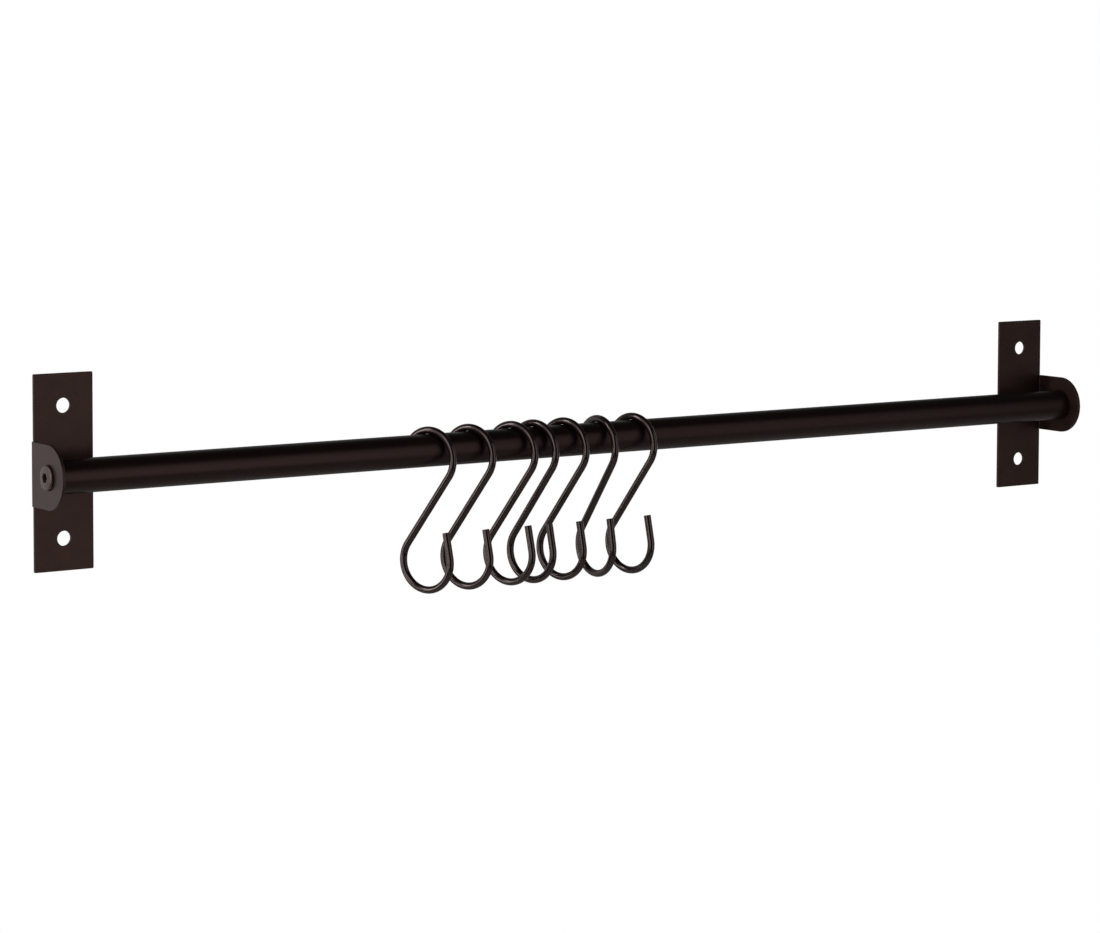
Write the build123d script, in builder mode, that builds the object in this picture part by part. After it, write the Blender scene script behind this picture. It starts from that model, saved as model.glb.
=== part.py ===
from build123d import *
import math
import os

os.makedirs("parts", exist_ok=True)

# Wall rail with S-hooks: a round tube held between two folded sheet brackets.
# X runs along the rail, Y points into the wall and Z is up. The origin lies on the
# wall's face, at the centre of the four wall-screw holes and level with the rail.

# Rail tube
rail_diameter = 16.0
rail_wall = 1.2
rail_length = 614.0
rail_stand_off = 18.0  # wall face to the rail's axis
tube_end_break = 0.3

# Wall bracket, one folded piece of sheet
sheet = 1.5
sheet_edge_radius = 0.2
plate_width = 30.0
plate_height = 91.5
plate_corner_radius = 0.6
tab_height = 30.0
tab_proud = 1.2  # how far the tab's outer face stands beyond the plate's edge
bend_inner_radius = 0.5
wall_hole_diameter = 7.0
wall_hole_spacing = 61.5

# Screw through each tab: a low domed head with a hexagon socket
screw_diameter = 6.0
screw_length = 14.0  # under the head
screw_point_chamfer = 0.8
head_diameter = 12.0
head_height = 2.0
head_rim_height = 1.3
socket_across_flats = 4.0
socket_depth = 3.0
tab_hole_clearance = 0.2  # radial, round the screw

# Threaded plug in each end of the tube
plug_length = 16.0
plug_mouth_chamfer = 0.6
plug_fit_clearance = 0.03  # radial, inside the tube
thread_clearance = 0.05  # radial, round the screw

# S-hook of round wire
wire_diameter = 3.6
wire_end_break = 0.3
loop_radius = 14.0  # to the wire's centre line
hook_height = 82.0
loop_overrun = 12.7  # degrees that each loop runs on past half a turn
front_tip_length = 12.5  # straight end of the lower loop
back_tip_length = 1.0  # straight end of the upper loop
hook_seat_clearance = 0.02  # wire above the rail

# Where each hook hangs along the rail
hook_1_x = -103.9
hook_2_x = -80.7
hook_3_x = -55.7
hook_4_x = -42.5
hook_5_x = -24.4
hook_6_x = -3.8
hook_7_x = 17.5
hook_stations = [hook_1_x, hook_2_x, hook_3_x, hook_4_x, hook_5_x, hook_6_x, hook_7_x]
hook_turns = [22.0, 21.0, 20.0, 15.5, 16.5, 2.5, 14.5]  # degrees about the vertical

# Places that follow from the sizes
rail_radius = rail_diameter / 2
rail_bore_radius = rail_radius - rail_wall
tab_inner_x = rail_length / 2
tab_middle_x = tab_inner_x + sheet / 2
tab_outer_x = tab_inner_x + sheet
plate_outer_x = tab_outer_x - tab_proud
plate_centre_x = plate_outer_x - plate_width / 2
bend_outer_radius = bend_inner_radius + sheet
bend_start_x = tab_outer_x - bend_outer_radius
wire_radius = wire_diameter / 2
loop_drop = hook_height - 2 * loop_radius - wire_diameter
upper_loop_z = rail_radius + hook_seat_clearance + wire_radius - loop_radius


def finish(piece, name):
    """Label a finished piece and write its STEP file."""
    piece.label = name
    export_step(piece, f"parts/{name}.step")


def is_free_rim(edge):
    """True for an edge of the plate's outline that lies clear of the bend."""
    return edge.center().X < bend_start_x - sheet or abs(edge.center().Z) > (tab_height + sheet) / 2


# Rail tube, along X, with its ends against the inner faces of the two tabs
with BuildPart() as rail_tube:
    with BuildSketch(Plane.YZ.offset(-tab_inner_x)):
        with Locations((-rail_stand_off, 0)):
            Circle(rail_radius)
            Circle(rail_bore_radius, mode=Mode.SUBTRACT)
    extrude(amount=rail_length)
    outer_rims = rail_tube.edges().filter_by(GeomType.CIRCLE).group_by(SortBy.RADIUS)[-1]
    chamfer(outer_rims, tube_end_break)
finish(rail_tube.part, "rail_tube")


# Right bracket: an upright plate whose outer edge bends forward into a tab with a
# half-round nose. One sheet section with softened edges is carried round the bend,
# along the tab and round the nose.
with BuildPart() as right_bracket:
    with BuildSketch(Plane.XZ) as plate_face:
        with Locations((plate_centre_x, 0)):
            Rectangle(plate_width, plate_height)
        fillet(plate_face.vertices(), plate_corner_radius)
        with Locations((plate_outer_x, 0)):
            Rectangle(2 * (plate_outer_x - bend_start_x), tab_height, mode=Mode.SUBTRACT)
    extrude(amount=sheet)
    plate_rims = right_bracket.faces().filter_by(Axis.Y).edges().filter_by(is_free_rim)
    fillet(plate_rims, sheet_edge_radius)

    with BuildSketch(Plane.YZ.offset(bend_start_x)):
        with Locations((-sheet / 2, 0)):
            RectangleRounded(sheet, tab_height, sheet_edge_radius)
    revolve(axis=Axis((bend_start_x, -bend_outer_radius, 0), (0, 0, 1)), revolution_arc=-90)

    with BuildSketch(Plane.XZ.offset(bend_outer_radius)):
        with Locations((tab_middle_x, 0)):
            RectangleRounded(sheet, tab_height, sheet_edge_radius)
    extrude(amount=rail_stand_off - bend_outer_radius)

    with BuildSketch(Plane.XZ.offset(rail_stand_off)):
        with Locations((tab_middle_x, 0)):
            RectangleRounded(sheet, tab_height, sheet_edge_radius)
        with Locations((tab_middle_x, -tab_height / 4)):
            Rectangle(sheet, tab_height / 2, mode=Mode.SUBTRACT)
    revolve(axis=Axis((tab_middle_x, -rail_stand_off, 0), (1, 0, 0)), revolution_arc=180)

    with Locations(Plane.XZ.offset(sheet)):
        with Locations((plate_centre_x, wall_hole_spacing / 2), (plate_centre_x, -wall_hole_spacing / 2)):
            Hole(wall_hole_diameter / 2, depth=sheet)
    with Locations(Plane(origin=(tab_outer_x, -rail_stand_off, 0), z_dir=(1, 0, 0))):
        Hole(screw_diameter / 2 + tab_hole_clearance, depth=sheet)
    hole_rims = right_bracket.edges().filter_by(lambda edge: edge.is_closed)
    fillet(hole_rims, sheet_edge_radius)
finish(right_bracket.part, "right_wall_bracket")

with BuildPart() as left_bracket:
    mirror(right_bracket.part, about=Plane.YZ)
finish(left_bracket.part, "left_wall_bracket")


# Threaded plug, flush with the end of the tube
with BuildPart() as right_plug:
    with BuildSketch(Plane.YZ.offset(tab_inner_x)):
        with Locations((-rail_stand_off, 0)):
            Circle(rail_bore_radius - plug_fit_clearance)
            Circle(screw_diameter / 2 + thread_clearance, mode=Mode.SUBTRACT)
    extrude(amount=-plug_length)
    end_rims = right_plug.edges().filter_by(GeomType.CIRCLE).group_by(Axis.X)[-1]
    chamfer(end_rims.sort_by(SortBy.RADIUS)[0], plug_mouth_chamfer)
finish(right_plug.part, "right_end_plug")

with BuildPart() as left_plug:
    mirror(right_plug.part, about=Plane.YZ)
finish(left_plug.part, "left_end_plug")


# Screw: a profile turned about the rail's axis, its head against the tab's outer face
under_head = Plane(origin=(tab_outer_x, -rail_stand_off, 0), x_dir=(1, 0, 0), z_dir=(0, -1, 0))
with BuildPart() as right_screw:
    with BuildSketch(under_head):
        with BuildLine():
            side = Polyline(
                (-screw_length, 0),
                (-screw_length, screw_diameter / 2 - screw_point_chamfer),
                (screw_point_chamfer - screw_length, screw_diameter / 2),
                (0, screw_diameter / 2),
                (0, head_diameter / 2),
                (head_rim_height, head_diameter / 2),
            )
            dome = TangentArc((head_height, 0), side @ 1, tangent=(0, 1))
            Line(dome @ 0, side @ 0)
        make_face()
    revolve(axis=Axis((tab_outer_x, -rail_stand_off, 0), (1, 0, 0)))
    with BuildSketch(Plane.YZ.offset(tab_outer_x + head_height)):
        with Locations((-rail_stand_off, 0)):
            RegularPolygon(socket_across_flats / 2, 6, major_radius=False)
    extrude(amount=-socket_depth, mode=Mode.SUBTRACT)
finish(right_screw.part, "right_rail_screw")

with BuildPart() as left_screw:
    mirror(right_screw.part, about=Plane.YZ)
finish(left_screw.part, "left_rail_screw")


# S-hook, drawn upright in the YZ plane with the upper loop's centre at the origin.
# Two equal loops are joined by their inner tangent. The lower loop opens to the front
# and runs out into a long straight tip, the upper one ends just past its arc.
shank_lean = math.degrees(math.acos(2 * loop_radius / loop_drop))
loop_sweep = 270 - shank_lean + loop_overrun
with BuildPart() as upright_hook:
    with BuildLine(Plane.YZ):
        upper_arc = CenterArc((0, 0), loop_radius, -loop_overrun, loop_sweep)
        lower_arc = CenterArc((0, -loop_drop), loop_radius, 90 - shank_lean, -loop_sweep)
        Line(upper_arc @ 1, lower_arc @ 0)
        back_tip = Line(upper_arc @ 0 - (upper_arc % 0) * back_tip_length, upper_arc @ 0)
        Line(lower_arc @ 1, lower_arc @ 1 + (lower_arc % 1) * front_tip_length)
    with BuildSketch(Plane(origin=back_tip @ 0, z_dir=back_tip % 0)):
        Circle(wire_radius)
    sweep()
    fillet(upright_hook.faces().filter_by(GeomType.PLANE).edges(), wire_end_break)

# A hook that hangs free swings until its weight lies below the upper loop's centre.
weight = upright_hook.part.center(CenterOf.MASS)
hang_tilt = math.degrees(math.atan2(-weight.Y, -weight.Z))
print("each hook hangs", round(hang_tilt, 2), "degrees off upright")

for number, (station, turn) in enumerate(zip(hook_stations, hook_turns), start=1):
    seat = Location((station, -rail_stand_off, upper_loop_z), (0, 0, turn))
    with BuildPart() as s_hook:
        with Locations(seat * Location((0, 0, 0), (hang_tilt, 0, 0))):
            add(upright_hook.part)
    finish(s_hook.part, f"s_hook_{number}")
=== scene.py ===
"""Looks of a wall rail with seven S-hooks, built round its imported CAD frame.

X runs along the rail, Y points into the wall and Z is up. Sizes are in millimetres
until a skin becomes a mesh, which is in metres like the frame.
"""

import logging
import math
from dataclasses import dataclass, field
from enum import Enum
from typing import Any, Optional, Sequence, Union

import bpy
import numpy as np
from mathutils import Matrix
from mathutils.geometry import tessellate_polygon


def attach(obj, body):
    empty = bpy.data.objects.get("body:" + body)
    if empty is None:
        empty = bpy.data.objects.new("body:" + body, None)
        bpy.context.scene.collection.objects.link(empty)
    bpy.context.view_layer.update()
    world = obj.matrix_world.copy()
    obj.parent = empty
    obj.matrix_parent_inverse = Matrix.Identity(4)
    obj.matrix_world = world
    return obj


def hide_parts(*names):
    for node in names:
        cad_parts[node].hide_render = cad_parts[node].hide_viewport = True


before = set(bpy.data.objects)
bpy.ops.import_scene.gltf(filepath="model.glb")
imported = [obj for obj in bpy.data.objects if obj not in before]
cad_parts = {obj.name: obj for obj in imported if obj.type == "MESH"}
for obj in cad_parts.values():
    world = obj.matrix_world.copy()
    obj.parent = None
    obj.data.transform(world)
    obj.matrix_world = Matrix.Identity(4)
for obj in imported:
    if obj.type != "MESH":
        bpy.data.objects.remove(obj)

LOG = logging.getLogger("hanging_rail")
METRES_PER_MM = 0.001
TURN = 2.0 * math.pi
HALF_FLAT = math.pi / 6.0  # half the angle that one side of a hexagon spans
WAVE_RADIANS = 20.0  # that Blender's wave texture turns through per unit of its scale
RIM_ATTRIBUTE = "rim"  # 0 on a face and 1 on a rounded rim, where the coat is thinner
Array = np.ndarray
Numbers = Union[float, Array]


class Side(Enum):
    """The end of the rail that a mirrored piece belongs to, with the sign of its X."""

    LEFT = -1.0
    RIGHT = 1.0

    @property
    def label(self) -> str:
        """The side's name, with which its pieces' names begin."""
        return self.name.lower()

    @property
    def mirrored(self) -> bool:
        """Whether a piece laid out for the right end is mirrored for this one."""
        return self is Side.LEFT


def new_object(name: str, data: bpy.types.ID) -> bpy.types.Object:
    """Makes an object and links it to the scene.

    Args:
        name: The object's name.
        data: Its mesh, lamp or camera.

    Returns:
        The object, standing at the origin.
    """
    made = bpy.data.objects.new(name, data)
    bpy.context.scene.collection.objects.link(made)
    return made


def stand(piece: bpy.types.Object, axes: Sequence[Array], place: Sequence[float]) -> None:
    """Turns an object and puts it in its place.

    Args:
        piece: The object.
        axes: The directions that its own X, Y and Z take.
        place: Where it stands, in metres.
    """
    piece.matrix_world = Matrix(np.stack(axes, axis=-1).tolist()).to_4x4()
    piece.location = place


# --------------------------------------------------------------------------- skins


class Skin:
    """A closed surface gathered from grids of points, with the normals that belong to them."""

    def __init__(self) -> None:
        """Starts with no points and no faces."""
        self._points: list[Array] = []
        self._normals: list[Array] = []
        self._rim: list[Array] = []
        self._faces: list[Array] = []
        self._count = 0

    def points(self, points: Array, normals: Optional[Array] = None, rim: float = 0.0) -> Array:
        """Adds points and returns their numbers in the shape of the grid.

        Args:
            points: Grid of points, (..., 3), in millimetres.
            normals: Outward unit normals in the same shape, or None to leave them to the faces.
            rim: How much of an edge the points lie on, 0 on a face and 1 on a rounded rim.

        Returns:
            The points' numbers, in the shape of the grid without its last axis.
        """
        shape = points.shape[:-1]
        total = int(np.prod(shape))
        numbers = np.arange(self._count, self._count + total).reshape(shape)
        self._points.append(points.reshape(-1, 3))
        blank = np.zeros((total, 3)) if normals is None else normals.reshape(-1, 3)
        self._normals.append(blank)
        self._rim.append(np.full(total, rim))
        self._count += total
        return numbers

    def quads(self, numbers: Array, wrap: bool = True) -> None:
        """Joins a grid of point numbers with quads.

        Faces point outwards where the first axis crossed with the second one does.

        Args:
            numbers: Grid of point numbers, (rows, columns).
            wrap: Whether the last column joins the first one.
        """
        if wrap:
            numbers = np.concatenate([numbers, numbers[:, :1]], axis=1)
        corners = (numbers[:-1, :-1], numbers[1:, :-1], numbers[1:, 1:], numbers[:-1, 1:])
        self._faces.append(np.stack(corners, axis=-1).reshape(-1, 4))

    def fan(self, ring: Array, centre: int) -> None:
        """Closes a pole with a triangle from each edge of a ring to one point.

        Args:
            ring: Point numbers round the pole.
            centre: The number of the point in the middle.
        """
        after = np.roll(ring, -1)
        middle = np.full_like(ring, centre)
        self._faces.append(np.stack([ring, middle, after], axis=-1))

    def triangles(self, corners: Array) -> None:
        """Adds triangles given as an (n, 3) array of point numbers."""
        self._faces.append(corners)

    def to_object(self, name: str, crease: Optional[float] = None) -> bpy.types.Object:
        """Makes the mesh object, in metres.

        Args:
            name: Name of the piece.
            crease: Degrees past which an edge stays sharp, or None to use the skin's normals.

        Returns:
            The object, linked to the scene and standing at the origin.
        """
        mesh = bpy.data.meshes.new(name)
        points = np.concatenate(self._points) * METRES_PER_MM
        sizes = np.concatenate([np.full(len(f), f.shape[1]) for f in self._faces])
        corners = np.concatenate([f.reshape(-1) for f in self._faces]).astype(np.int32)
        mesh.vertices.add(len(points))
        mesh.vertices.foreach_set("co", points.astype(np.float32).reshape(-1))
        mesh.loops.add(len(corners))
        mesh.loops.foreach_set("vertex_index", corners)
        mesh.polygons.add(len(sizes))
        starts = np.concatenate([[0], np.cumsum(sizes)[:-1]]).astype(np.int32)
        mesh.polygons.foreach_set("loop_start", starts)
        mesh.update(calc_edges=True)
        mesh.validate()
        mesh.shade_smooth()
        rim = mesh.attributes.new(RIM_ATTRIBUTE, "FLOAT", "POINT")
        rim.data.foreach_set("value", np.concatenate(self._rim).astype(np.float32))
        if crease is None:
            mesh.normals_split_custom_set_from_vertices(np.concatenate(self._normals).tolist())
        else:
            mesh.set_sharp_from_angle(angle=math.radians(crease))
        return new_object(name, mesh)


def rays(angle: Array) -> Array:
    """Unit vectors (cos a, sin a), (..., 2), for angles in radians."""
    return np.stack([np.cos(angle), np.sin(angle)], axis=-1)


def turned(profile: Array, turns: int, phase: float = 0.0) -> Array:
    """Turns a profile about the X axis.

    Formula: a profile point (along, radius) at angle a lies at (along, radius * cos a,
    radius * sin a).

    Args:
        profile: (rows, 2) or (rows, turns, 2) of distance along X and radius.
        turns: Number of columns round the axis.
        phase: Angle of the first column, in radians.

    Returns:
        The grid of points, (rows, turns, 3).
    """
    angle = phase + np.arange(turns) * TURN / turns
    if profile.ndim == 2:
        profile = np.repeat(profile[:, None, :], turns, axis=1)
    return np.concatenate([profile[..., :1], profile[..., 1:] * rays(angle)], axis=-1)


def arc(
    centre: Sequence[float], radius: float, start: float, end: float, steps: int
) -> tuple[Array, Array]:
    """An arc of a piece's outline, with its outward normals.

    Formula: the point at angle a is centre + radius * (cos a, sin a). Its normal is that
    ray where the arc runs anticlockwise, as on a corner, and the reverse where it runs
    clockwise, as round a hole.

    Args:
        centre: The arc's centre.
        radius: The arc's radius.
        start: Angle of the first point, in degrees.
        end: Angle of the last point, in degrees.
        steps: Number of equal steps between them.

    Returns:
        Points and unit normals, both (steps + 1, 2).
    """
    ray = rays(np.radians(np.linspace(start, end, steps + 1)))
    return np.asarray(centre) + radius * ray, math.copysign(1.0, end - start) * ray


# ----------------------------------------------------------------------- materials


def linear(hex_colour: str) -> tuple[float, float, float, float]:
    """Turns an sRGB colour into a linear one, by the curve of the sRGB standard.

    Args:
        hex_colour: Red, green and blue, such as "2b2321".

    Returns:
        Linear red, green and blue, and an alpha of 1.
    """
    srgb = np.array([int(hex_colour[i : i + 2], 16) for i in (0, 2, 4)]) / 255.0
    low, high = srgb / 12.92, ((srgb + 0.055) / 1.055) ** 2.4
    return (*np.where(srgb <= 0.04045, low, high).tolist(), 1.0)


def add_node(
    tree: bpy.types.NodeTree,
    kind: str,
    inputs: Optional[dict[Union[str, int], Any]] = None,
    **settings: Any,
) -> bpy.types.Node:
    """Adds one shader node.

    Args:
        tree: The node tree.
        kind: The node's type, such as "ShaderNodeBump".
        inputs: For each input's name or number a value, or the socket to link to it.
        **settings: The node's own properties.

    Returns:
        The node.
    """
    node = tree.nodes.new(kind)
    for name, value in settings.items():
        setattr(node, name, value)
    for key, value in (inputs or {}).items():
        if isinstance(value, bpy.types.NodeSocket):
            tree.links.new(value, node.inputs[key])
        else:
            node.inputs[key].default_value = value
    return node


def per_metre(pattern_mm: float) -> float:
    """Noise scale, in cycles a metre, of a pattern that repeats about every pattern_mm."""
    return 1.0 / (pattern_mm * METRES_PER_MM)


@dataclass(frozen=True)
class PowderCoat:
    """Baked powder coat over steel, sprayed on dry and melted to one skin.

    It gives the eye a deep brown-black with a satin sheen: fine grain that breaks up the
    highlights, a soft orange peel under it, and a thinner, slightly paler film on edges.
    The brown pigment warms what the film reflects, except at a glancing view.
    """

    name: str
    colour: str = "0e0806"
    pale_colour: str = "150d0a"
    edge_colour: str = "30221d"
    gloss_tint: str = "ffcbc4"
    roughness: float = 0.35
    roughness_spread: float = 0.05
    specular_level: float = 0.34
    cloud_mm: float = 9.0  # slow change of film thickness
    cloud_detail: float = 3.0
    grain_mm: float = 0.5  # really about 0.15; drawn coarser so that it shows
    grain_detail: float = 2.0
    grain_height_mm: float = 0.008
    peel_mm: float = 2.4
    peel_detail: float = 1.0
    peel_height_mm: float = 0.004
    film_range: tuple[float, float] = (0.12, 0.40)  # of cloud times grain, thick to thin
    sheen_range: tuple[float, float] = (0.25, 0.75)  # of the grain, glossy to matt

    def material(self) -> bpy.types.Material:
        """Builds the material: noise in object space drives colour, roughness and bump.

        Returns:
            The material.
        """
        material = bpy.data.materials.new(self.name)
        material.use_nodes = True
        tree = material.node_tree
        shader = tree.nodes["Principled BSDF"]
        place = add_node(tree, "ShaderNodeTexCoord").outputs["Object"]
        patterns = (
            (self.cloud_mm, self.cloud_detail),
            (self.grain_mm, self.grain_detail),
            (self.peel_mm, self.peel_detail),
        )
        cloud, grain, peel = (
            add_node(
                tree,
                "ShaderNodeTexNoise",
                {"Vector": place, "Scale": per_metre(pattern_mm), "Detail": detail},
            ).outputs[0]
            for pattern_mm, detail in patterns
        )
        blend = add_node(tree, "ShaderNodeMath", {0: cloud, 1: grain}, operation="MULTIPLY")
        thick, thin = self.film_range
        film = add_node(
            tree,
            "ShaderNodeMapRange",
            {"Value": blend.outputs[0], "From Min": thick, "From Max": thin},
        )
        body = add_node(
            tree,
            "ShaderNodeMix",
            {"Factor": film.outputs[0], 6: linear(self.colour), 7: linear(self.pale_colour)},
            data_type="RGBA",
        )
        rim = add_node(tree, "ShaderNodeAttribute", attribute_name=RIM_ATTRIBUTE)
        edge = add_node(
            tree, "ShaderNodeMath", {0: rim.outputs["Fac"], 1: cloud}, operation="MULTIPLY"
        )
        colour = add_node(
            tree,
            "ShaderNodeMix",
            {"Factor": edge.outputs[0], 6: body.outputs[2], 7: linear(self.edge_colour)},
            data_type="RGBA",
        )
        glossy, matt = self.sheen_range
        sheen = add_node(
            tree,
            "ShaderNodeMapRange",
            {
                "Value": grain,
                "From Min": glossy,
                "From Max": matt,
                "To Min": self.roughness - self.roughness_spread,
                "To Max": self.roughness + self.roughness_spread,
            },
        )
        under = add_node(
            tree,
            "ShaderNodeBump",
            {"Height": peel, "Distance": self.peel_height_mm * METRES_PER_MM, "Strength": 1.0},
        )
        over = add_node(
            tree,
            "ShaderNodeBump",
            {
                "Height": grain,
                "Distance": self.grain_height_mm * METRES_PER_MM,
                "Strength": 1.0,
                "Normal": under.outputs[0],
            },
        )
        tree.links.new(colour.outputs[2], shader.inputs["Base Color"])
        tree.links.new(sheen.outputs[0], shader.inputs["Roughness"])
        tree.links.new(over.outputs[0], shader.inputs["Normal"])
        shader.inputs["Specular IOR Level"].default_value = self.specular_level
        shader.inputs["Specular Tint"].default_value = linear(self.gloss_tint)
        return material


@dataclass(frozen=True)
class TurnedSteel:
    """Bare carbon steel turned on a lathe.

    It gives the eye a grey metal with fine rings round the axis that stretch the highlight.
    """

    name: str
    colour: str = "8d8a86"
    dark_colour: str = "6f6c69"
    roughness: float = 0.34
    roughness_spread: float = 0.08
    ring_mm: float = 0.18  # a radian of the rings' wave, drawn coarser than the tool's feed
    ring_wobble: float = 1.5
    ring_detail: float = 2.0
    ring_height_mm: float = 0.004
    axis_y_mm: float = -18.0

    def material(self) -> bpy.types.Material:
        """Builds the material: rings round the plug's axis, broken up by noise.

        Returns:
            The material.
        """
        material = bpy.data.materials.new(self.name)
        material.use_nodes = True
        tree = material.node_tree
        shader = tree.nodes["Principled BSDF"]
        place = add_node(tree, "ShaderNodeTexCoord").outputs["Object"]
        shift = (0.0, -self.axis_y_mm * METRES_PER_MM, 0.0)
        centred = add_node(tree, "ShaderNodeMapping", {"Vector": place, "Location": shift})
        rings = add_node(
            tree,
            "ShaderNodeTexWave",
            {
                "Vector": centred.outputs[0],
                "Scale": per_metre(self.ring_mm) / WAVE_RADIANS,
                "Distortion": self.ring_wobble,
                "Detail": self.ring_detail,
            },
            wave_type="RINGS",
            rings_direction="X",
        ).outputs["Fac"]
        colour = add_node(
            tree,
            "ShaderNodeMix",
            {"Factor": rings, 6: linear(self.dark_colour), 7: linear(self.colour)},
            data_type="RGBA",
        )
        sheen = add_node(
            tree,
            "ShaderNodeMapRange",
            {
                "Value": rings,
                "To Min": self.roughness - self.roughness_spread,
                "To Max": self.roughness + self.roughness_spread,
            },
        )
        bump = add_node(
            tree,
            "ShaderNodeBump",
            {"Height": rings, "Distance": self.ring_height_mm * METRES_PER_MM, "Strength": 1.0},
        )
        tree.links.new(colour.outputs[2], shader.inputs["Base Color"])
        tree.links.new(sheen.outputs[0], shader.inputs["Roughness"])
        tree.links.new(bump.outputs[0], shader.inputs["Normal"])
        shader.inputs["Metallic"].default_value = 1.0
        return material


def hand_over(
    piece: bpy.types.Object, node: str, material: bpy.types.Material
) -> None:
    """Dresses a finished piece and puts it in the place of its CAD node.

    Args:
        piece: The new piece.
        node: The CAD node that it stands for.
        material: The finish.
    """
    piece.data.materials.append(material)
    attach(piece, "root")
    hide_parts(node)
    LOG.info("%s: %d faces, finish %s", piece.name, len(piece.data.polygons), material.name)


# -------------------------------------------------------------------------- pieces


@dataclass
class RailTube:
    """The round tube between the tabs, with broken outer edges."""

    length: float = 614.0
    radius: float = 8.0
    wall: float = 1.2
    stand_off: float = 18.0  # wall face to the tube's axis
    edge_break: float = 0.3
    turns: int = 192
    crease: float = 30.0  # degrees past which an edge stays sharp

    def profile(self) -> Array:
        """The wall's section, whose last corner joins its first.

        Returns:
            The corners, (6, 2) of distance along X and radius.
        """
        half, cut = self.length / 2.0, self.edge_break
        bore = self.radius - self.wall
        right = [(half - cut, self.radius), (half, self.radius - cut), (half, bore)]
        left = [(-along, radius) for along, radius in reversed(right)]
        return np.array(right + left, dtype=float)

    def build(self) -> bpy.types.Object:
        """Turns the section about the rail's axis into one closed skin.

        Returns:
            The tube's skin.
        """
        points = turned(self.profile(), self.turns)
        points[..., 1] -= self.stand_off
        skin = Skin()
        numbers = skin.points(points)
        skin.quads(np.concatenate([numbers, numbers[:1]], axis=0)[::-1])
        return skin.to_object("rail_tube_skin", crease=self.crease)


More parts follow.
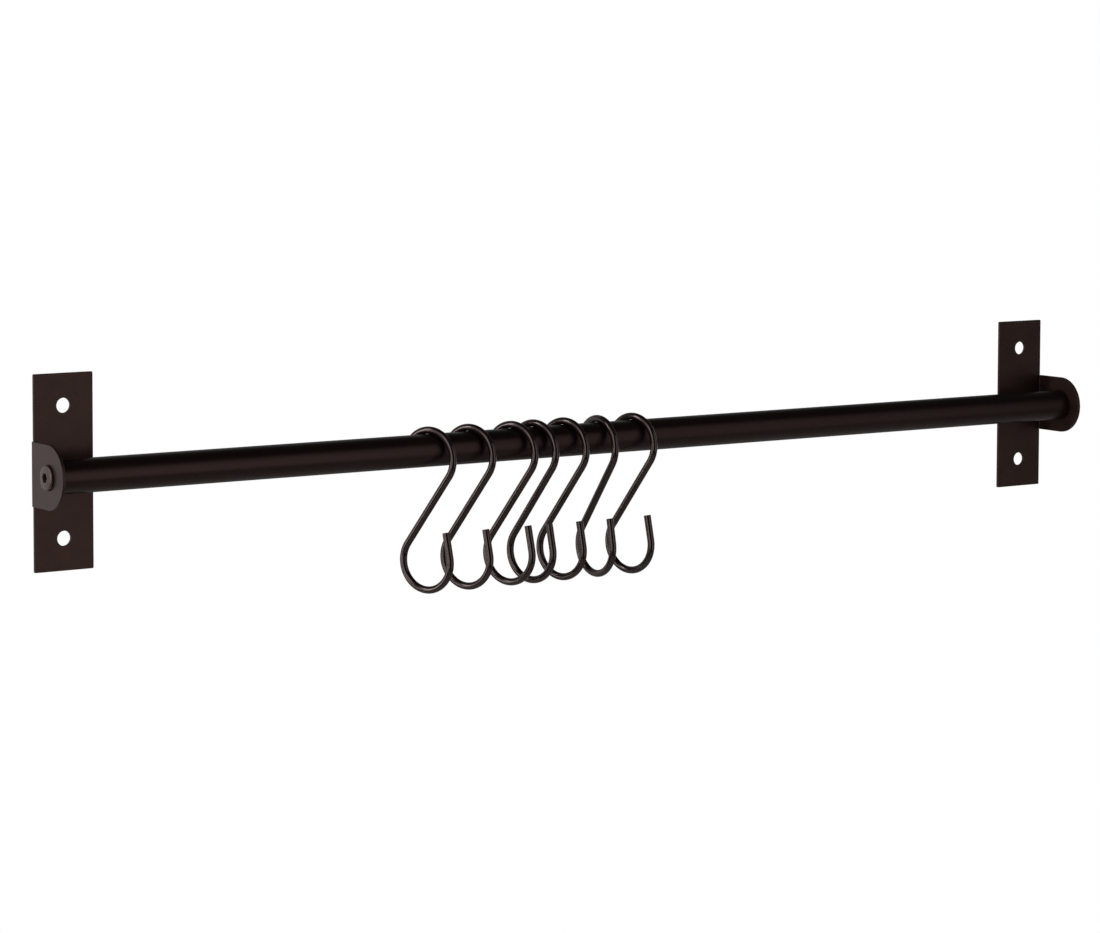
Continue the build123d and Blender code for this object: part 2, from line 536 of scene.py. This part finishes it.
@dataclass
class WallBracket:
    """A folded sheet bracket: a plate with two holes, and a tab with a half-round nose.

    The blank is laid out flat with s across it, z up and w through the sheet from the
    wall's side to the front, and is then folded.
    """

    side: Side
    sheet: float = 1.5
    edge_radius: float = 0.2
    plate_inner: float = 277.3
    plate_outer: float = 307.3
    plate_height: float = 91.5
    corner_radius: float = 0.6
    ear_radius: float = 0.25  # the plate's corner beside the slit
    tab_height: float = 30.0
    tab_reach: float = 16.0  # end of the bend to the nose's centre
    bend_start: float = 306.5
    bend_inner_radius: float = 0.5
    relief: float = 0.06  # slit beside the tab that lets it fold
    relief_depth: float = 0.3  # how far the slot runs in past the bend
    wall_hole_radius: float = 3.5
    wall_hole_spacing: float = 61.5
    tab_hole_radius: float = 3.2
    rim_steps: int = 5
    bend_steps: int = 14
    nose_steps: int = 96
    hole_steps: int = 72

    @property
    def bend_outer_radius(self) -> float:
        """Radius of the fold on the wall's side."""
        return self.bend_inner_radius + self.sheet

    @property
    def bend_end(self) -> float:
        """Where the fold ends on the flat blank, measured through the sheet's middle."""
        middle = self.bend_inner_radius + self.sheet / 2.0
        return self.bend_start + middle * math.pi / 2.0

    def lower_outline(self) -> tuple[Array, Array, Array]:
        """The blank's outline from the foot of its inner edge round to the nose's tip.

        Returns:
            Points (n, 2), outward normals (n, 2), and the numbers of the fold's stations.
        """
        half, tab = self.plate_height / 2.0, self.tab_height / 2.0
        corner, ear, slot = self.corner_radius, self.ear_radius, self.relief / 2.0
        steps = self.rim_steps + 1
        inner_centre = (self.plate_inner + corner, -half + corner)
        outer_centre = (self.plate_outer - corner, -half + corner)
        ear_centre = (self.plate_outer - ear, -tab - self.relief - ear)
        slot_centre = (self.bend_start - self.relief_depth, -tab - slot)
        nose_centre = (self.bend_end + self.tab_reach, 0.0)
        stations = np.linspace(self.bend_start, self.bend_end, self.bend_steps + 1)
        bend = np.stack([stations, np.full_like(stations, -tab)], axis=-1)
        plate = [
            arc(inner_centre, corner, 180.0, 270.0, steps),
            arc(outer_centre, corner, -90.0, 0.0, steps),
            arc(ear_centre, ear, 0.0, 90.0, steps),
            arc(slot_centre, slot, -90.0, -270.0, 2 * steps),
        ]
        fold = (bend, np.tile([0.0, -1.0], (len(bend), 1)))
        nose = arc(nose_centre, tab, -90.0, 0.0, self.nose_steps // 2)
        points, outward = (np.concatenate(parts) for parts in zip(*plate, fold, nose))
        first = sum(len(corner_points) for corner_points, _ in plate)
        return points, outward, np.arange(first, first + len(bend))

    def outline(self) -> tuple[Array, Array, Array, Array]:
        """The whole outline, anticlockwise seen from the front.

        Returns:
            Points, outward normals, and the numbers of the fold's stations on the lower
            and on the upper edge, both from the plate to the tab.
        """
        points, outward, low = self.lower_outline()
        mirror = np.array([1.0, -1.0])
        upper_points, upper_outward = points[-2::-1] * mirror, outward[-2::-1] * mirror
        total = len(points) + len(upper_points)
        high = total - 1 - low
        whole = np.concatenate([points, upper_points])
        return whole, np.concatenate([outward, upper_outward]), low, high

    def hole(self, centre: Sequence[float], radius: float) -> tuple[Array, Array]:
        """A hole's edge, clockwise, and its outward normals, which point to its centre.

        Args:
            centre: The hole's centre on the blank.
            radius: The hole's radius.

        Returns:
            Points and normals, both (hole_steps, 2).
        """
        points, normals = arc(centre, radius, 0.0, -360.0, self.hole_steps)
        return points[:-1], normals[:-1]

    def rim(self, edge: Array, outward: Array) -> tuple[Array, Array]:
        """Carries the sheet's half-round rim along an edge of the blank.

        Formula: at angle a of a corner the point is inset by r * (1 - cos a) and stands
        r * (1 - sin a) short of the face, and its normal is cos a * outward + sin a * w.

        Args:
            edge: (n, 2) points of the edge.
            outward: (n, 2) normals of the edge.

        Returns:
            Blank points and normals, (2 * rim_steps + 2, n, 3), from the wall's side on.
        """
        angle = np.radians(np.linspace(0.0, 90.0, self.rim_steps + 1))
        inset = self.edge_radius * (1.0 - np.cos(angle))
        short = self.edge_radius * (1.0 - np.sin(angle))
        inset = np.concatenate([inset[::-1], inset])[:, None, None]
        depth = np.concatenate([short[::-1], self.sheet - short])
        across = np.concatenate([np.cos(angle[::-1]), np.cos(angle)])
        through = np.concatenate([-np.sin(angle[::-1]), np.sin(angle)])
        flat = edge[None] - inset * outward[None]
        rows, columns = len(depth), len(edge)
        depth_grid = np.broadcast_to(depth[:, None, None], (rows, columns, 1))
        through_grid = np.broadcast_to(through[:, None, None], (rows, columns, 1))
        points = np.concatenate([flat, depth_grid], axis=-1)
        normals = np.concatenate([across[:, None, None] * outward[None], through_grid], axis=-1)
        return points, normals

    def fold(self, blank: Array, normals: Array) -> tuple[Array, Array]:
        """Folds the flat blank into the bracket.

        Formula: s past the bend's start turns into an angle a, up to a quarter turn, about
        a line in front of the plate; the point lies at the bend's outer radius less w from
        that line, and what is left of s past the bend's end runs on straight ahead. Above
        and below the slots the plate stays flat.

        Args:
            blank: (..., 3) points as (s, z, w).
            normals: (..., 3) normals in the same axes.

        Returns:
            The points and normals as (x, y, z), for the bracket's own side.
        """
        s, z, w = blank[..., 0], blank[..., 1], blank[..., 2]
        length = self.bend_end - self.bend_start
        folds = np.abs(z) < (self.tab_height + self.relief) / 2.0
        past = np.where(folds, s - self.bend_start, 0.0)
        angle = np.clip(past / length, 0.0, 1.0) * math.pi / 2.0
        before = np.where(folds, np.minimum(past, 0.0), s - self.bend_start)
        after = np.maximum(past - length, 0.0)
        radius = self.bend_outer_radius - w
        x = self.bend_start + radius * np.sin(angle) + before
        y = -self.bend_outer_radius + radius * np.cos(angle) - after
        along, up, through = normals[..., 0], normals[..., 1], normals[..., 2]
        normal_x = along * np.cos(angle) - through * np.sin(angle)
        normal_y = -along * np.sin(angle) - through * np.cos(angle)
        sign = self.side.value
        points = np.stack([sign * x, y, z], axis=-1)
        return points, np.stack([sign * normal_x, normal_y, up], axis=-1)

    def close_face(
        self, skin: Skin, rings: list[tuple[Array, Array]], low: Array, high: Array, front: bool
    ) -> None:
        """Closes one face of the sheet: quads over the bend, triangles on the plate and tab.

        Args:
            skin: The bracket's skin.
            rings: Where the rims of the outline, the plate's two holes and the tab's hole
                meet this face, each as blank points and their numbers.
            low: The fold's stations on the lower edge, as places in the outline.
            high: The same on the upper edge.
            front: Whether this is the front face, and not the wall's side.
        """
        around, numbers = rings[0]
        reverse = front != self.side.mirrored
        strip = np.stack([numbers[low], numbers[high]])
        skin.quads(strip[::-1] if reverse else strip, wrap=False)
        plate = np.concatenate([np.arange(high[0], len(numbers)), np.arange(low[0] + 1)])
        tab = np.arange(low[-1], high[-1] + 1)
        for loop, holes in ((plate, rings[1:3]), (tab, rings[3:])):
            loops = [around[loop]] + [points for points, _ in holes]
            names = np.concatenate([numbers[loop]] + [hole for _, hole in holes])
            corners = np.array(tessellate_polygon([points.tolist() for points in loops]))
            flat = np.concatenate(loops)[:, :2]
            first, second, third = (flat[corners[:, k]] for k in range(3))
            ahead, aside = second - first, third - first
            turn = ahead[:, 0] * aside[:, 1] - ahead[:, 1] * aside[:, 0]
            wrong = (turn > 0) != reverse
            corners[wrong] = corners[wrong][:, ::-1]
            skin.triangles(names[corners])

    def build(self) -> bpy.types.Object:
        """Cuts the blank, rounds its rims, folds it and closes both faces.

        Returns:
            The bracket's skin.
        """
        skin = Skin()
        edge, outward, low, high = self.outline()
        plate_middle = (self.plate_inner + self.plate_outer) / 2.0
        rise = self.wall_hole_spacing / 2.0
        tab_centre = (self.bend_end + self.tab_reach, 0.0)
        holes = [
            self.hole((plate_middle, rise), self.wall_hole_radius),
            self.hole((plate_middle, -rise), self.wall_hole_radius),
            self.hole(tab_centre, self.tab_hole_radius),
        ]
        rims = []
        for ring, ring_outward in [(edge, outward), *holes]:
            blank, blank_normals = self.rim(ring, ring_outward)
            points, normals = self.fold(blank, blank_normals)
            numbers = skin.points(points, normals, rim=1.0)
            skin.quads(numbers if self.side.mirrored else numbers[::-1])
            rims.append((blank, numbers))
        for row, front in ((0, False), (-1, True)):
            rings = [(blank[row], numbers[row]) for blank, numbers in rims]
            self.close_face(skin, rings, low, high, front)
        return skin.to_object(f"{self.side.label}_wall_bracket_skin")


@dataclass
class RailScrew:
    """A low domed screw with a hexagon socket, through the tab into the tube's plug.

    The corners in under_edge are pairs of height over the tab and distance in from the
    head's side, and those in socket_lip of depth under the crown and distance out from the
    socket's flats.
    """

    side: Side
    tab_face: float = 308.5
    axis_y: float = -18.0
    shank_radius: float = 3.0
    shank_length: float = 14.0
    point_chamfer: float = 0.8
    thread_pitch: float = 1.0
    thread_depth: float = 0.5
    neck: float = 0.5  # full-width stretch under the head, in pitches
    head_radius: float = 6.0
    head_height: float = 2.0
    rim_height: float = 1.3
    rim_round: float = 0.9  # soft shoulder between the head's side and its dome
    under_edge: tuple[tuple[float, float], ...] = ((0.0, 0.15), (0.05, 0.04), (0.15, 0.0))
    socket_across_flats: float = 4.0
    socket_depth: float = 3.0
    socket_chamfer: float = 0.25
    socket_lip: tuple[tuple[float, float], ...] = ((0.12, 0.10), (0.30, 0.0))
    pit_depth: float = 0.35  # from the socket's floor down to the pit's ring
    pit_share: float = 0.45  # the pit's ring as a share of the socket
    pit_point: float = 0.15  # from the pit's ring down to its point
    turns: int = 96
    rows_per_pitch: int = 10
    shoulder_steps: int = 8
    dome_rows: int = 14
    dome_gap: float = 0.12  # between the shoulder and the dome's first ring
    crease: float = 35.0  # degrees past which an edge stays sharp

    @property
    def dome_radius(self) -> float:
        """Radius of the sphere through the rim and the crown."""
        rise = self.head_height - self.rim_height
        return (self.head_radius**2 + rise**2) / (2.0 * rise)

    def dome_height(self, radius: Numbers) -> Numbers:
        """Height of the dome over the tab, on that sphere, at a distance from the axis."""
        sphere = self.dome_radius
        return self.head_height - sphere + np.sqrt(sphere**2 - radius**2)

    def shoulder(self) -> Array:
        """The round shoulder, tangent to the head's side and, from inside, to its dome.

        Formula: its centre lies one shoulder radius in from the side, and the dome's
        radius less the shoulder's from the dome's centre.

        Returns:
            Points (shoulder_steps + 1, 2) of height over the tab and radius.
        """
        inset = self.head_radius - self.rim_round
        reach = math.sqrt((self.dome_radius - self.rim_round) ** 2 - inset**2)
        height = self.head_height - self.dome_radius + reach
        end = math.degrees(math.atan2(inset, reach))
        points, _ = arc((height, inset), self.rim_round, 90.0, end, self.shoulder_steps)
        return points

    def grid(self) -> Array:
        """The profile at every angle, from the shank's point round the head into the socket.

        Formula: the shank's radius is its crest less the thread depth times a triangle
        wave of (distance / pitch + angle / full turn); the socket's radius is half its
        width across flats over the cosine of the angle from the nearest flat.

        Returns:
            (rows, turns, 2) of distance from the tab and radius.
        """
        angle = np.arange(self.turns) * TURN / self.turns
        ones = np.ones(self.turns)
        rows = int(self.shank_length / self.thread_pitch * self.rows_per_pitch)
        along = np.linspace(-self.shank_length, -self.thread_pitch, rows)[:, None]
        phase = along / self.thread_pitch + angle[None] / TURN
        wave = 2.0 * np.abs(phase - np.floor(phase) - 0.5)
        thread = self.shank_radius - self.thread_depth * wave
        cone = along + self.shank_length + self.shank_radius - self.point_chamfer
        thread = np.minimum(thread, cone)
        shank = np.stack([np.broadcast_to(along, thread.shape), thread], axis=-1)

        def ring(height: Numbers, radius: Numbers) -> Array:
            """One row of the grid, (1, turns, 2)."""
            return np.stack([height * ones, radius * ones], axis=-1)[None]

        half_width = self.socket_across_flats / 2.0
        mouth = half_width / math.cos(HALF_FLAT) + self.socket_chamfer
        shoulder = self.shoulder()
        radii = np.linspace(shoulder[-1, 1] - self.dome_gap, mouth, self.dome_rows)
        offset = (angle + HALF_FLAT) % (2.0 * HALF_FLAT) - HALF_FLAT
        hexagon = half_width / np.cos(offset)
        crown = self.dome_height(mouth)
        floor = self.head_height - self.socket_depth
        neck = [ring(-self.thread_pitch * self.neck, self.shank_radius)]
        neck += [ring(0.0, self.shank_radius)]
        head = [ring(height, self.head_radius - inset) for height, inset in self.under_edge]
        head += [ring(*corner) for corner in shoulder]
        head += [ring(*corner) for corner in zip(self.dome_height(radii), radii)]
        socket = [ring(crown - depth, hexagon + wider) for depth, wider in self.socket_lip]
        socket += [ring(floor, hexagon)]
        socket += [ring(floor - self.pit_depth, hexagon * self.pit_share)]
        return np.concatenate([shank, *neck, *head, *socket])

    def build(self) -> bpy.types.Object:
        """Turns the profile into one closed skin and moves it to its tab.

        Returns:
            The screw's skin.
        """
        profile = self.grid()
        points = turned(profile, self.turns, phase=HALF_FLAT)
        pit_end = profile[-1, 0, 0] - self.pit_point
        centres = np.array([[-self.shank_length, 0.0, 0.0], [pit_end, 0.0, 0.0]])
        sign = self.side.value
        mirror = np.array([sign, 1.0, 1.0])
        seat = np.array([sign * self.tab_face, self.axis_y, 0.0])
        skin = Skin()
        numbers = skin.points(points * mirror + seat)
        point, pit = skin.points(centres * mirror + seat)
        flip = self.side.mirrored
        skin.quads(numbers if flip else numbers[::-1])
        first, last = numbers[0], numbers[-1][::-1]
        skin.fan(first[::-1] if flip else first, point)
        skin.fan(last[::-1] if flip else last, pit)
        return skin.to_object(f"{self.side.label}_rail_screw_skin", crease=self.crease)


@dataclass
class SHook:
    """One S-hook of round wire, hung on the rail at its balance tilt."""

    number: int
    station: float  # its place along the rail
    turn: float  # degrees about the vertical
    wire_radius: float = 1.8
    end_break: float = 0.3
    loop_radius: float = 14.0
    loop_drop: float = 50.4  # from the upper loop's centre to the lower one's
    overrun: float = 12.7  # degrees that each loop runs on past half a turn
    front_tip: float = 12.5
    back_tip: float = 1.0
    hang_tilt: float = 1.84  # degrees, at which its weight balances
    axis_y: float = -18.0
    upper_loop_z: float = -4.18  # puts the wire 0.02 over the tube
    around: int = 48
    end_rings: int = 6
    degrees_per_ring: float = 2.0

    def centre_line(self) -> tuple[Array, Array]:
        """The wire's middle in the hook's own plane, and its direction there.

        Formula: a short tip, an arc about the upper centre, the arcs' inner tangent, an
        arc the other way about the lower centre, and a long tip. A direction is the arc's
        ray turned a quarter.

        Returns:
            Points (n, 2) as (towards the wall, up) and unit directions (n, 2).
        """
        lean = math.degrees(math.acos(2.0 * self.loop_radius / self.loop_drop))
        sweep = 270.0 - lean + self.overrun
        steps = int(sweep / self.degrees_per_ring)
        upper = np.radians(np.linspace(-self.overrun, -self.overrun + sweep, steps + 1))
        lower = np.radians(np.linspace(90.0 - lean, 90.0 - lean - sweep, steps + 1))
        upper_ray, lower_ray = rays(upper), rays(lower)
        upper_way = np.stack([-upper_ray[:, 1], upper_ray[:, 0]], axis=-1)
        lower_way = np.stack([lower_ray[:, 1], -lower_ray[:, 0]], axis=-1)
        upper_arc = self.loop_radius * upper_ray
        lower_arc = self.loop_radius * lower_ray + [0.0, -self.loop_drop]
        back_end = upper_arc[:1] - self.back_tip * upper_way[:1]
        front_end = lower_arc[-1:] + self.front_tip * lower_way[-1:]
        points = np.concatenate([back_end, upper_arc, lower_arc, front_end])
        ways = np.concatenate([upper_way[:1], upper_way, lower_way, lower_way[-1:]])
        return points, ways

    def sweep(self) -> tuple[Array, Array, Array, Array]:
        """Carries the round wire along its centre line and rounds its cut ends.

        Formula: a ring at angle a is centre + radius * (cos a * side + sin a * x), where
        side is the direction turned a quarter in the hook's plane. At the cut ends the
        radius shrinks along a quarter circle of the end break.

        Returns:
            Ring points and normals (rows, around, 3), the two end points, and their
            normals, all in the hook's own axes (x, y, z).
        """
        points, ways = self.centre_line()
        angle = np.radians(np.linspace(0.0, 90.0, self.end_rings))
        shift_in = self.end_break * (1.0 - np.sin(angle))
        back = points[:1] + shift_in[::-1, None] * ways[:1]
        front = points[-1:] - shift_in[:, None] * ways[-1:]
        line = np.concatenate([back, points[1:-1], front])
        back_way = np.repeat(ways[:1], self.end_rings, 0)
        front_way = np.repeat(ways[-1:], self.end_rings, 0)
        way = np.concatenate([back_way, ways[1:-1], front_way])
        middle = len(points) - 2
        cut = self.end_break * (1.0 - np.cos(angle))
        radius = self.wire_radius - np.concatenate([cut[::-1], np.zeros(middle), cut])
        forward = np.concatenate([-np.sin(angle[::-1]), np.zeros(middle), np.sin(angle)])
        side = np.stack([-way[:, 1], way[:, 0]], axis=-1)
        spin = np.arange(self.around) * TURN / self.around
        in_plane = np.cos(spin)[None, :, None] * side[:, None, :]
        across = np.broadcast_to(np.sin(spin)[None, :], (len(line), self.around))
        ring_normal = np.concatenate([across[..., None], in_plane], axis=-1)
        centre = np.concatenate([np.zeros((len(line), 1)), line], axis=-1)
        direction = np.concatenate([np.zeros((len(line), 1)), way], axis=-1)
        rings = centre[:, None, :] + radius[:, None, None] * ring_normal
        outward = np.sqrt(1.0 - forward**2)[:, None, None] * ring_normal
        normals = outward + forward[:, None, None] * direction[:, None, :]
        ends = np.concatenate([np.zeros((2, 1)), points[[0, -1]]], axis=-1)
        end_normals = np.stack([-direction[0], direction[-1]])
        return rings, normals, ends, end_normals

    def build(self) -> bpy.types.Object:
        """Sweeps the wire, then tilts, turns and moves it to its seat on the rail.

        Returns:
            The hook's skin.
        """
        rings, normals, ends, end_normals = self.sweep()
        tilt = Matrix.Rotation(math.radians(self.hang_tilt), 3, "X")
        turn = Matrix.Rotation(math.radians(self.turn), 3, "Z")
        place = np.array(turn @ tilt)
        seat = np.array([self.station, self.axis_y, self.upper_loop_z])
        skin = Skin()
        numbers = skin.points(rings @ place.T + seat, normals @ place.T)
        back, front = skin.points(ends @ place.T + seat, end_normals @ place.T)
        skin.quads(numbers[::-1])
        skin.fan(numbers[0], back)
        skin.fan(numbers[-1][::-1], front)
        return skin.to_object(f"s_hook_{self.number}_skin")


@dataclass
class HangingRail:
    """The whole object: two brackets, the tube, its screws and plugs, and the hooks."""

    hook_stations: tuple[float, ...] = (-103.9, -80.7, -55.7, -42.5, -24.4, -3.8, 17.5)
    hook_turns: tuple[float, ...] = (22.0, 21.0, 20.0, 15.5, 16.5, 2.5, 14.5)
    bracket_coat: PowderCoat = PowderCoat("satin_powder_coat_on_sheet")
    rail_coat: PowderCoat = PowderCoat("satin_powder_coat_on_tube", roughness=0.33)
    hook_coat: PowderCoat = PowderCoat(
        "glossy_powder_coat_on_wire",
        colour="170d0a",
        gloss_tint="ffe6e2",
        roughness=0.16,
        roughness_spread=0.03,
        specular_level=0.62,
        grain_height_mm=0.001,
    )
    screw_coat: PowderCoat = PowderCoat(
        "satin_powder_coat_on_screw",
        colour="1c1311",
        gloss_tint="ffdfda",
        roughness=0.38,
        specular_level=0.95,
    )
    plug_steel: TurnedSteel = TurnedSteel("turned_steel")

    def build(self) -> None:
        """Builds and dresses every piece."""
        coat = self.bracket_coat.material()
        screw_coat = self.screw_coat.material()
        for side in Side:
            bracket = WallBracket(side).build()
            hand_over(bracket, f"{side.label}_wall_bracket", coat)
            screw = RailScrew(side).build()
            hand_over(screw, f"{side.label}_rail_screw", screw_coat)
        hand_over(RailTube().build(), "rail_tube", self.rail_coat.material())
        wire_coat = self.hook_coat.material()
        for number, (station, turn) in enumerate(zip(self.hook_stations, self.hook_turns), 1):
            hook = SHook(number, station, turn).build()
            hand_over(hook, f"s_hook_{number}", wire_coat)
        steel = self.plug_steel.material()
        for side in Side:
            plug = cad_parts[f"{side.label}_end_plug"]
            plug.data.materials.clear()
            plug.data.materials.append(steel)
            LOG.info("%s: CAD mesh kept, finish %s", plug.name, steel.name)


# -------------------------------------------------------------------------- studio


@dataclass
class SoftBox:
    """A rectangular soft lamp that faces the rail's middle."""

    name: str
    place: tuple[float, float, float]  # metres
    size: tuple[float, float]  # metres
    radiance: float

    def build(self) -> None:
        """Makes the lamp: its power is pi times its area times the radiance wanted."""
        lamp = bpy.data.lights.new(self.name, "AREA")
        lamp.shape = "RECTANGLE"
        lamp.size, lamp.size_y = self.size
        lamp.energy = math.pi * self.size[0] * self.size[1] * self.radiance
        back = np.array(self.place) / np.linalg.norm(self.place)
        right = np.cross([0.0, 0.0, 1.0], back)
        right = right / np.linalg.norm(right)
        stand(new_object(self.name, lamp), (right, np.cross(back, right), back), self.place)


@dataclass
class PhotoCamera:
    """The photograph's camera: its direction, its roll and the point that it looks at."""

    azimuth: float = -34.3223  # degrees
    pitch: float = 4.0603
    roll: float = 0.1716
    focal_pixels: float = 3529.97
    frame_pixels: float = 1100.0
    rise_pixels: float = 166.5  # lens shift that keeps upright edges parallel
    target: tuple[float, float, float] = (-21.057, 0.0, 68.981)  # millimetres
    distance: float = 1771.3
    sensor_mm: float = 36.0
    clip: tuple[float, float] = (0.05, 50.0)  # metres

    def build(self) -> None:
        """Places the camera and makes it the scene's own.

        Formula: forward is the Y axis pitched down and turned by the azimuth about Z; the
        roll turns the level and upright directions about it.
        """
        azimuth, pitch, roll = np.radians([self.azimuth, self.pitch, self.roll])
        forward = np.array(
            [
                -math.sin(azimuth) * math.cos(pitch),
                math.cos(azimuth) * math.cos(pitch),
                -math.sin(pitch),
            ]
        )
        level = np.array([math.cos(azimuth), math.sin(azimuth), 0.0])
        upright = np.cross(level, forward)
        right = level * math.cos(roll) + upright * math.sin(roll)
        up = -level * math.sin(roll) + upright * math.cos(roll)
        camera = bpy.data.cameras.new("photo_camera")
        camera.sensor_fit = "HORIZONTAL"
        camera.sensor_width = self.sensor_mm
        camera.lens = self.focal_pixels * self.sensor_mm / self.frame_pixels
        camera.shift_y = -self.rise_pixels / self.frame_pixels
        camera.clip_start, camera.clip_end = self.clip
        place = (np.array(self.target) - self.distance * forward) * METRES_PER_MM
        holder = new_object("photo_camera", camera)
        stand(holder, (right, up, -forward), place.tolist())
        bpy.context.scene.camera = holder


@dataclass
class Studio:
    """White surroundings, soft lamps and a pale floor well below the rail."""

    ambient: float = 0.04
    backdrop: float = 0.32  # the white behind the rail as its gloss shows it
    backdrop_fade: tuple[float, float] = (0.4, 0.8)  # where it comes in, by direction's Y
    floor_z: float = -0.8  # metres
    floor_half: float = 1.3
    floor_colour: str = "e6e4e1"
    floor_roughness: float = 0.9
    floor_lift: float = 0.75  # white added to what the camera sees, so that shadows stay
    lamps: list[SoftBox] = field(
        default_factory=lambda: [
            SoftBox("left_window", (-1.88, -0.33, 0.62), (2.2, 2.4), 1.0),
            SoftBox("left_window_back_pane", (-1.86, 0.61, 0.36), (0.28, 2.0), 7.0),
            SoftBox("left_window_front_pane", (-1.80, -0.77, 0.36), (0.85, 2.0), 1.6),
            SoftBox("front_right_strip", (0.52, -1.93, 0.0), (0.65, 1.6), 0.72),
            SoftBox("front_right_fill", (0.94, -1.77, 0.2), (1.5, 2.4), 0.62),
            SoftBox("right_soft_box", (1.98, 0.28, -0.05), (1.6, 1.4), 0.9),
            SoftBox("back_left_card", (-1.06, 1.69, -0.1), (1.5, 1.6), 0.40),
        ]
    )

    def world(self) -> None:
        """Shows white to the camera, and a softer white behind the rail to its gloss."""
        world = bpy.data.worlds.new("white_surroundings")
        bpy.context.scene.world = world
        world.use_nodes = True
        tree = world.node_tree
        path = add_node(tree, "ShaderNodeLightPath")
        way = add_node(tree, "ShaderNodeTexCoord").outputs["Generated"]
        split = add_node(tree, "ShaderNodeSeparateXYZ", {"Vector": way})
        none, full = self.backdrop_fade
        behind = add_node(
            tree,
            "ShaderNodeMapRange",
            {"Value": split.outputs["Y"], "From Min": none, "From Max": full},
            interpolation_type="SMOOTHSTEP",
        )
        seen = add_node(
            tree,
            "ShaderNodeMath",
            {0: behind.outputs[0], 1: path.outputs["Is Glossy Ray"]},
            operation="MULTIPLY",
        )
        soft = add_node(
            tree,
            "ShaderNodeMapRange",
            {"Value": seen.outputs[0], "To Min": self.ambient, "To Max": self.backdrop},
        )
        strength = add_node(
            tree,
            "ShaderNodeMapRange",
            {"Value": path.outputs["Is Camera Ray"], "To Min": soft.outputs[0], "To Max": 1.0},
        )
        background = tree.nodes["Background"]
        background.inputs["Color"].default_value = linear("ffffff")
        tree.links.new(strength.outputs[0], background.inputs["Strength"])

    def floor(self) -> None:
        """A pale plain floor, low enough to stay under the photograph's frame."""
        half = self.floor_half
        corners = np.array([[-half, -half], [half, -half], [half, half], [-half, half]])
        points = np.concatenate([corners, np.full((4, 1), self.floor_z)], axis=-1)
        mesh = bpy.data.meshes.new("studio_floor")
        mesh.from_pydata(points.tolist(), [], [(0, 1, 2, 3)])
        material = bpy.data.materials.new("matt_painted_floor")
        material.use_nodes = True
        tree = material.node_tree
        shader = tree.nodes["Principled BSDF"]
        shader.inputs["Base Color"].default_value = linear(self.floor_colour)
        shader.inputs["Roughness"].default_value = self.floor_roughness
        path = add_node(tree, "ShaderNodeLightPath")
        lift = add_node(
            tree,
            "ShaderNodeMath",
            {0: path.outputs["Is Camera Ray"], 1: self.floor_lift},
            operation="MULTIPLY",
        )
        shader.inputs["Emission Color"].default_value = linear(self.floor_colour)
        tree.links.new(lift.outputs[0], shader.inputs["Emission Strength"])
        mesh.materials.append(material)
        new_object("studio_floor", mesh)

    def build(self) -> None:
        """Sets up the surroundings, the lamps, the floor and the camera."""
        self.world()
        self.floor()
        for lamp in self.lamps:
            lamp.build()
        PhotoCamera().build()
        bpy.context.scene.view_settings.view_transform = "Standard"


def main() -> None:
    """Builds the rail and its studio."""
    logging.basicConfig(level=logging.INFO, format="%(name)s: %(message)s")
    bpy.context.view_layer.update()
    HangingRail().build()
    Studio().build()


if __name__ == "__main__":
    main()
